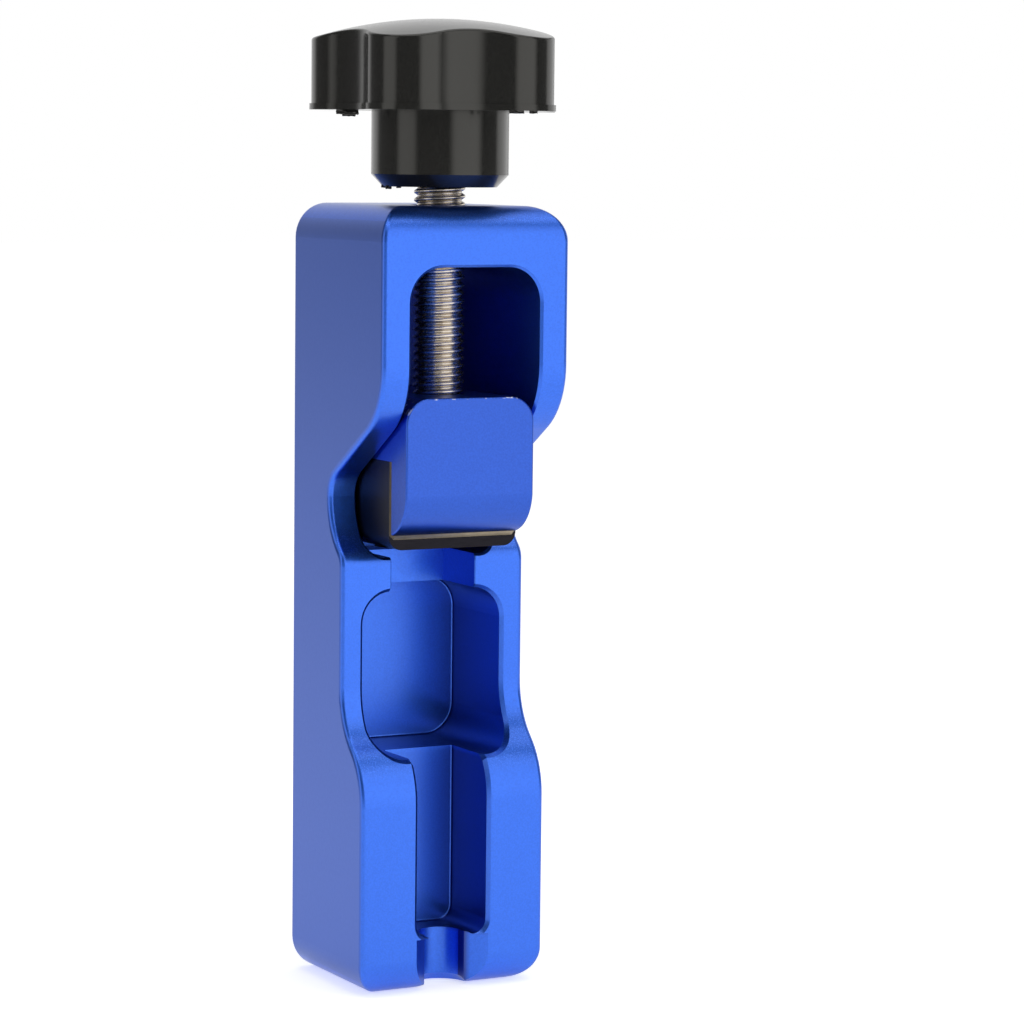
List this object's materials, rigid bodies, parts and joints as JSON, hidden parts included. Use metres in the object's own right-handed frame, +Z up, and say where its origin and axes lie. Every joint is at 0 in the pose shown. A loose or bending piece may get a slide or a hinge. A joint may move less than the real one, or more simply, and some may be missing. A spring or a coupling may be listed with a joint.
{
  "type": "spark plug gap tool",
  "caption": "Hand tool that holds a spark plug in a recessed metal body while a knob and screw press a sliding jaw on its electrode to set the gap.",
  "frame": {"origin": "centre of the body's square on its flat bottom face", "axes": "+Z up along the body towards the knob, -Y out of the open milled front, +X to the right seen from the front"},
  "size_m": [0.0389, 0.0391, 0.1514],
  "materials": {
    "anodised_blue": "bead blasted and anodised blue",
    "black_steel": "ground and black oxide",
    "stainless_steel": "rolled thread, bare",
    "black_phenolic": "moulded, glossy"
  },
  "bodies": {
    "frame": {"body": "anodised_blue"},
    "jaw": {"jaw_block": "anodised_blue", "anvil": "black_steel", "anvil_screws": "black_steel"},
    "screw": {"spindle": "stainless_steel", "end_washer": "stainless_steel", "end_screw": "stainless_steel", "knob": "black_phenolic"}
  },
  "joints": [
    {"name": "jaw_travel", "type": "slide", "parent": "frame", "child": "jaw", "axis": [0, 0, 1], "range_m": [-0.00081, 0.01901]},
    {"name": "screw_turn", "type": "hinge", "parent": "jaw", "child": "screw", "pos_m": [0, -0.0031, 0.0899], "axis": [0, 0, 1], "range_deg": [-234, 5476]}
  ],
  "couplings": [
    {"joint": "screw_turn", "follows": "jaw_travel", "rad_per_m": 5026.5}
  ]
}
